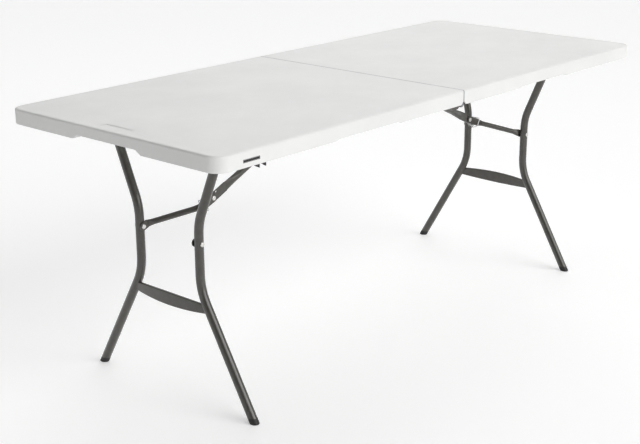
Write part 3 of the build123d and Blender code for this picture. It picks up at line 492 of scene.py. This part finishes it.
def screw_head():
    """Pan head with a crossed slot, its seat at z 0 and its crown below."""
    bm = bmesh.new()
    add_rings(bm, [circle(0.0, 0.0, z, HEAD_RADIUS * share, HEAD_SIDES) for z, share in HEAD_PROFILE])
    head = finished(bm, "head")
    for long, wide in ((CROSS_LENGTH, CROSS_WIDTH), (CROSS_WIDTH, CROSS_LENGTH)):
        bm = bmesh.new()
        rings = []
        for z, share in ((-HEAD_HEIGHT - 0.0005, 1.0), (-HEAD_HEIGHT + CROSS_DEPTH, CROSS_TAPER)):
            half_x, half_y = long / 2 * share, wide / 2 * share
            corners = ((-half_x, -half_y), (half_x, -half_y), (half_x, half_y), (-half_x, half_y))
            rings.append([(x, y, z) for x, y in corners])
        add_rings(bm, rings)
        head = combined(head, finished(bm, "slot"), "DIFFERENCE")
    return head


def screws(side_name, head):
    """All the screws of one half, each head turned a little further than the last."""
    source = f"panel_screws_{side_name}"
    bm = bmesh.new()
    for count, (x, y, low, tip) in enumerate(screw_axes(source)):
        seat = low + HEAD_HEIGHT
        start = len(bm.verts)
        bm.from_mesh(head)
        bm.verts.ensure_lookup_table()
        fresh = bm.verts[start:]
        turn = Matrix.Rotation(SCREW_TURN * count, 3, "Z")
        bmesh.ops.rotate(bm, verts=fresh, cent=(0.0, 0.0, 0.0), matrix=turn)
        bmesh.ops.translate(bm, verts=fresh, vec=(x, y, seat))
        add_rings(bm, [circle(x, y, z, SHANK_RADIUS, SHANK_SIDES) for z in (seat - 0.0002, tip)])
    mesh = bpy.data.meshes.new(source)
    bm.to_mesh(mesh)
    bm.free()
    smooth(mesh)
    made = add_object(f"cross_head_screws_{side_name}", mesh, ZINC_DULL, f"{side_name}_half")
    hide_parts(source)


# ------------------------------------------------------------------ weld beads
def bead(bm, line):
    """Closed rope of weld metal along a closed line of points, rippled like laid weld."""
    count = len(line)
    rows = []
    for i, point in enumerate(line):
        ahead = (line[(i + 1) % count] - line[i - 1]).normalized()
        side_way = ahead.orthogonal().normalized()
        other_way = ahead.cross(side_way)
        radius = BEAD_RADIUS * (1.0 + 0.22 * sin(2.1 * i) + 0.08 * sin(0.37 * i * i))
        ring = []
        for k in range(BEAD_SIDES):
            turn = 2 * pi * k / BEAD_SIDES
            ring.append(bm.verts.new(point + (side_way * cos(turn) + other_way * sin(turn)) * radius))
        rows.append(ring)
    for i in range(count):
        low, high = rows[i], rows[(i + 1) % count]
        shift = min(range(BEAD_SIDES), key=lambda k: (high[k].co - low[0].co).length)
        for k in range(BEAD_SIDES):
            upper = (high[(k + shift) % BEAD_SIDES], high[(k + 1 + shift) % BEAD_SIDES])
            bm.faces.new((low[k], low[(k + 1) % BEAD_SIDES], upper[1], upper[0]))


def head_line(side, edge):
    """Where a leg tube's surface meets the cross tube's."""
    start = Vector((side * LEG_X, edge * LEG_HEAD[0], LEG_HEAD[1]))
    along = (Vector((side * LEG_X, edge * LEG_WAIST[0], LEG_WAIST[1])) - start).normalized()
    out = Vector((side, 0.0, 0.0))
    across = along.cross(out)
    line = []
    for i in range(HEAD_BEAD_POINTS):
        turn = 2 * pi * i / HEAD_BEAD_POINTS
        skin = start + (out * cos(turn) + across * sin(turn)) * TUBE_RADIUS
        reach = sqrt(max(TUBE_RADIUS**2 - (skin.x - start.x) ** 2, 0.0))
        line.append(skin + along * ((start.z - reach - skin.z) / along.z))
    return line


def brace_line(side, edge):
    """Where the lower brace's end meets a leg tube."""
    lean = (LEG_FOOT[0] - LEG_KNEE[0]) / LEG_KNEE[1]
    level = 1.0 / sqrt(1.0 + lean**2)
    half_x, half_z = LOW_BRACE_HALF
    line = []
    for i in range(BRACE_BEAD_POINTS):
        turn = 2 * pi * i / BRACE_BEAD_POINTS
        dx = half_x * max(-1.0, min(1.0, 1.3 * cos(turn)))
        z = LOW_BRACE_Z + half_z * max(-1.0, min(1.0, 1.15 * sin(turn)))
        axis_y = LEG_FOOT[0] - lean * z
        inner = axis_y - sqrt(TUBE_RADIUS**2 - dx**2) / level
        line.append(Vector((side * (LEG_X + BRACE_BOW) + dx, edge * inner, z)))
    return line


def weld_beads(side_name):
    """All the welds of one leg frame, flush with the tubes where the frame folds against the top."""
    side = SIDES[side_name]
    bm = bmesh.new()
    for edge in EDGES.values():
        bead(bm, head_line(side, edge))
        bead(bm, brace_line(side, edge))
    for vert in bm.verts:
        off = max(-BEAD_LIMIT, min(BEAD_LIMIT, vert.co.x - side * LEG_X))
        vert.co.x = side * LEG_X + off
    mesh = finished(bm, "welds")
    smooth(mesh, 60.0)
    add_object(f"weld_beads_{side_name}", mesh, STEEL, f"{side_name}_leg")


head = screw_head()
for side_name in SIDES:
    detailed_half(side_name)
    screws(side_name, head)
    weld_beads(side_name)


# ------------------------------------------------------------------ floor, light and camera
def stage_floor():
    bm = bmesh.new()
    bmesh.ops.create_grid(bm, x_segments=8, y_segments=8, size=FLOOR_HALF)
    mesh = bpy.data.meshes.new("floor")
    bm.to_mesh(mesh)
    bm.free()
    material, _, shader = new_material("pale_floor")
    shader.inputs["Base Color"].default_value = (0.86, 0.86, 0.86, 1.0)
    shader.inputs["Roughness"].default_value = 0.9
    shader.inputs["Emission Color"].default_value = (1.0, 1.0, 1.0, 1.0)
    shader.inputs["Emission Strength"].default_value = 0.288
    floor = bpy.data.objects.new("floor", mesh)
    bpy.context.scene.collection.objects.link(floor)
    mesh.materials.append(material)


def backdrop():
    """A white wall far behind the floor, seen by the camera alone."""
    bm = bmesh.new()
    wall_size = {"radius1": WALL_RADIUS, "radius2": WALL_RADIUS, "depth": WALL_HEIGHT}
    bmesh.ops.create_cone(bm, cap_ends=False, segments=96, **wall_size)
    mesh = finished(bm, "backdrop")
    material, _, shader = new_material("white_wall")
    shader.inputs["Base Color"].default_value = (0.0, 0.0, 0.0, 1.0)
    shader.inputs["Specular IOR Level"].default_value = 0.0
    shader.inputs["Emission Color"].default_value = (1.0, 1.0, 1.0, 1.0)
    shader.inputs["Emission Strength"].default_value = 0.95
    mesh.materials.append(material)
    wall = bpy.data.objects.new("backdrop", mesh)
    bpy.context.scene.collection.objects.link(wall)
    wall.visible_diffuse = False
    wall.visible_glossy = False
    wall.visible_transmission = False
    wall.visible_shadow = False


def area_light(name, place_at, aim, size, power):
    data = bpy.data.lights.new(name, "AREA")
    data.shape = "RECTANGLE"
    data.size, data.size_y = size
    data.energy = power
    lamp = bpy.data.objects.new(name, data)
    lamp.location = place_at
    lamp.rotation_mode = "QUATERNION"
    lamp.rotation_quaternion = (Vector(aim) - Vector(place_at)).to_track_quat("-Z", "Y")
    bpy.context.scene.collection.objects.link(lamp)


def sun_light(name, toward, angle, power):
    data = bpy.data.lights.new(name, "SUN")
    data.energy = power
    data.angle = radians(angle)
    lamp = bpy.data.objects.new(name, data)
    lamp.rotation_mode = "QUATERNION"
    lamp.rotation_quaternion = Vector(toward).to_track_quat("Z", "Y")
    bpy.context.scene.collection.objects.link(lamp)


def world_light():
    world = bpy.data.worlds.new("studio")
    world.use_nodes = True
    back = world.node_tree.nodes["Background"]
    back.inputs["Color"].default_value = (1.0, 1.0, 1.0, 1.0)
    back.inputs["Strength"].default_value = 0.2255
    bpy.context.scene.world = world


def camera():
    data = bpy.data.cameras.new("camera")
    data.sensor_width = SENSOR_WIDTH
    data.lens = CAMERA_LENS
    data.clip_start = 0.05
    data.clip_end = 60.0
    az, el, roll = CAMERA_AZIMUTH, CAMERA_ELEVATION, CAMERA_ROLL
    back = Vector((sin(az) * cos(el), -cos(az) * cos(el), sin(el)))
    right = Vector((cos(az), sin(az), 0.0))
    up = back.cross(right)
    level_right = right * cos(roll) + up * sin(roll)
    level_up = up * cos(roll) - right * sin(roll)
    turn = Matrix((level_right, level_up, back)).transposed().to_4x4()
    made = bpy.data.objects.new("camera", data)
    made.matrix_world = Matrix.Translation(CAMERA_PLACE) @ turn
    bpy.context.scene.collection.objects.link(made)
    bpy.context.scene.camera = made


stage_floor()
backdrop()
world_light()
for sun in SUNS:
    sun_light(*sun)
area_light("overhead", (0.8, 0.6, 4.6), (0.2, 0.0, 0.7), (5.5, 4.0), 28.8)
camera()
bpy.context.scene.view_settings.view_transform = "Standard"
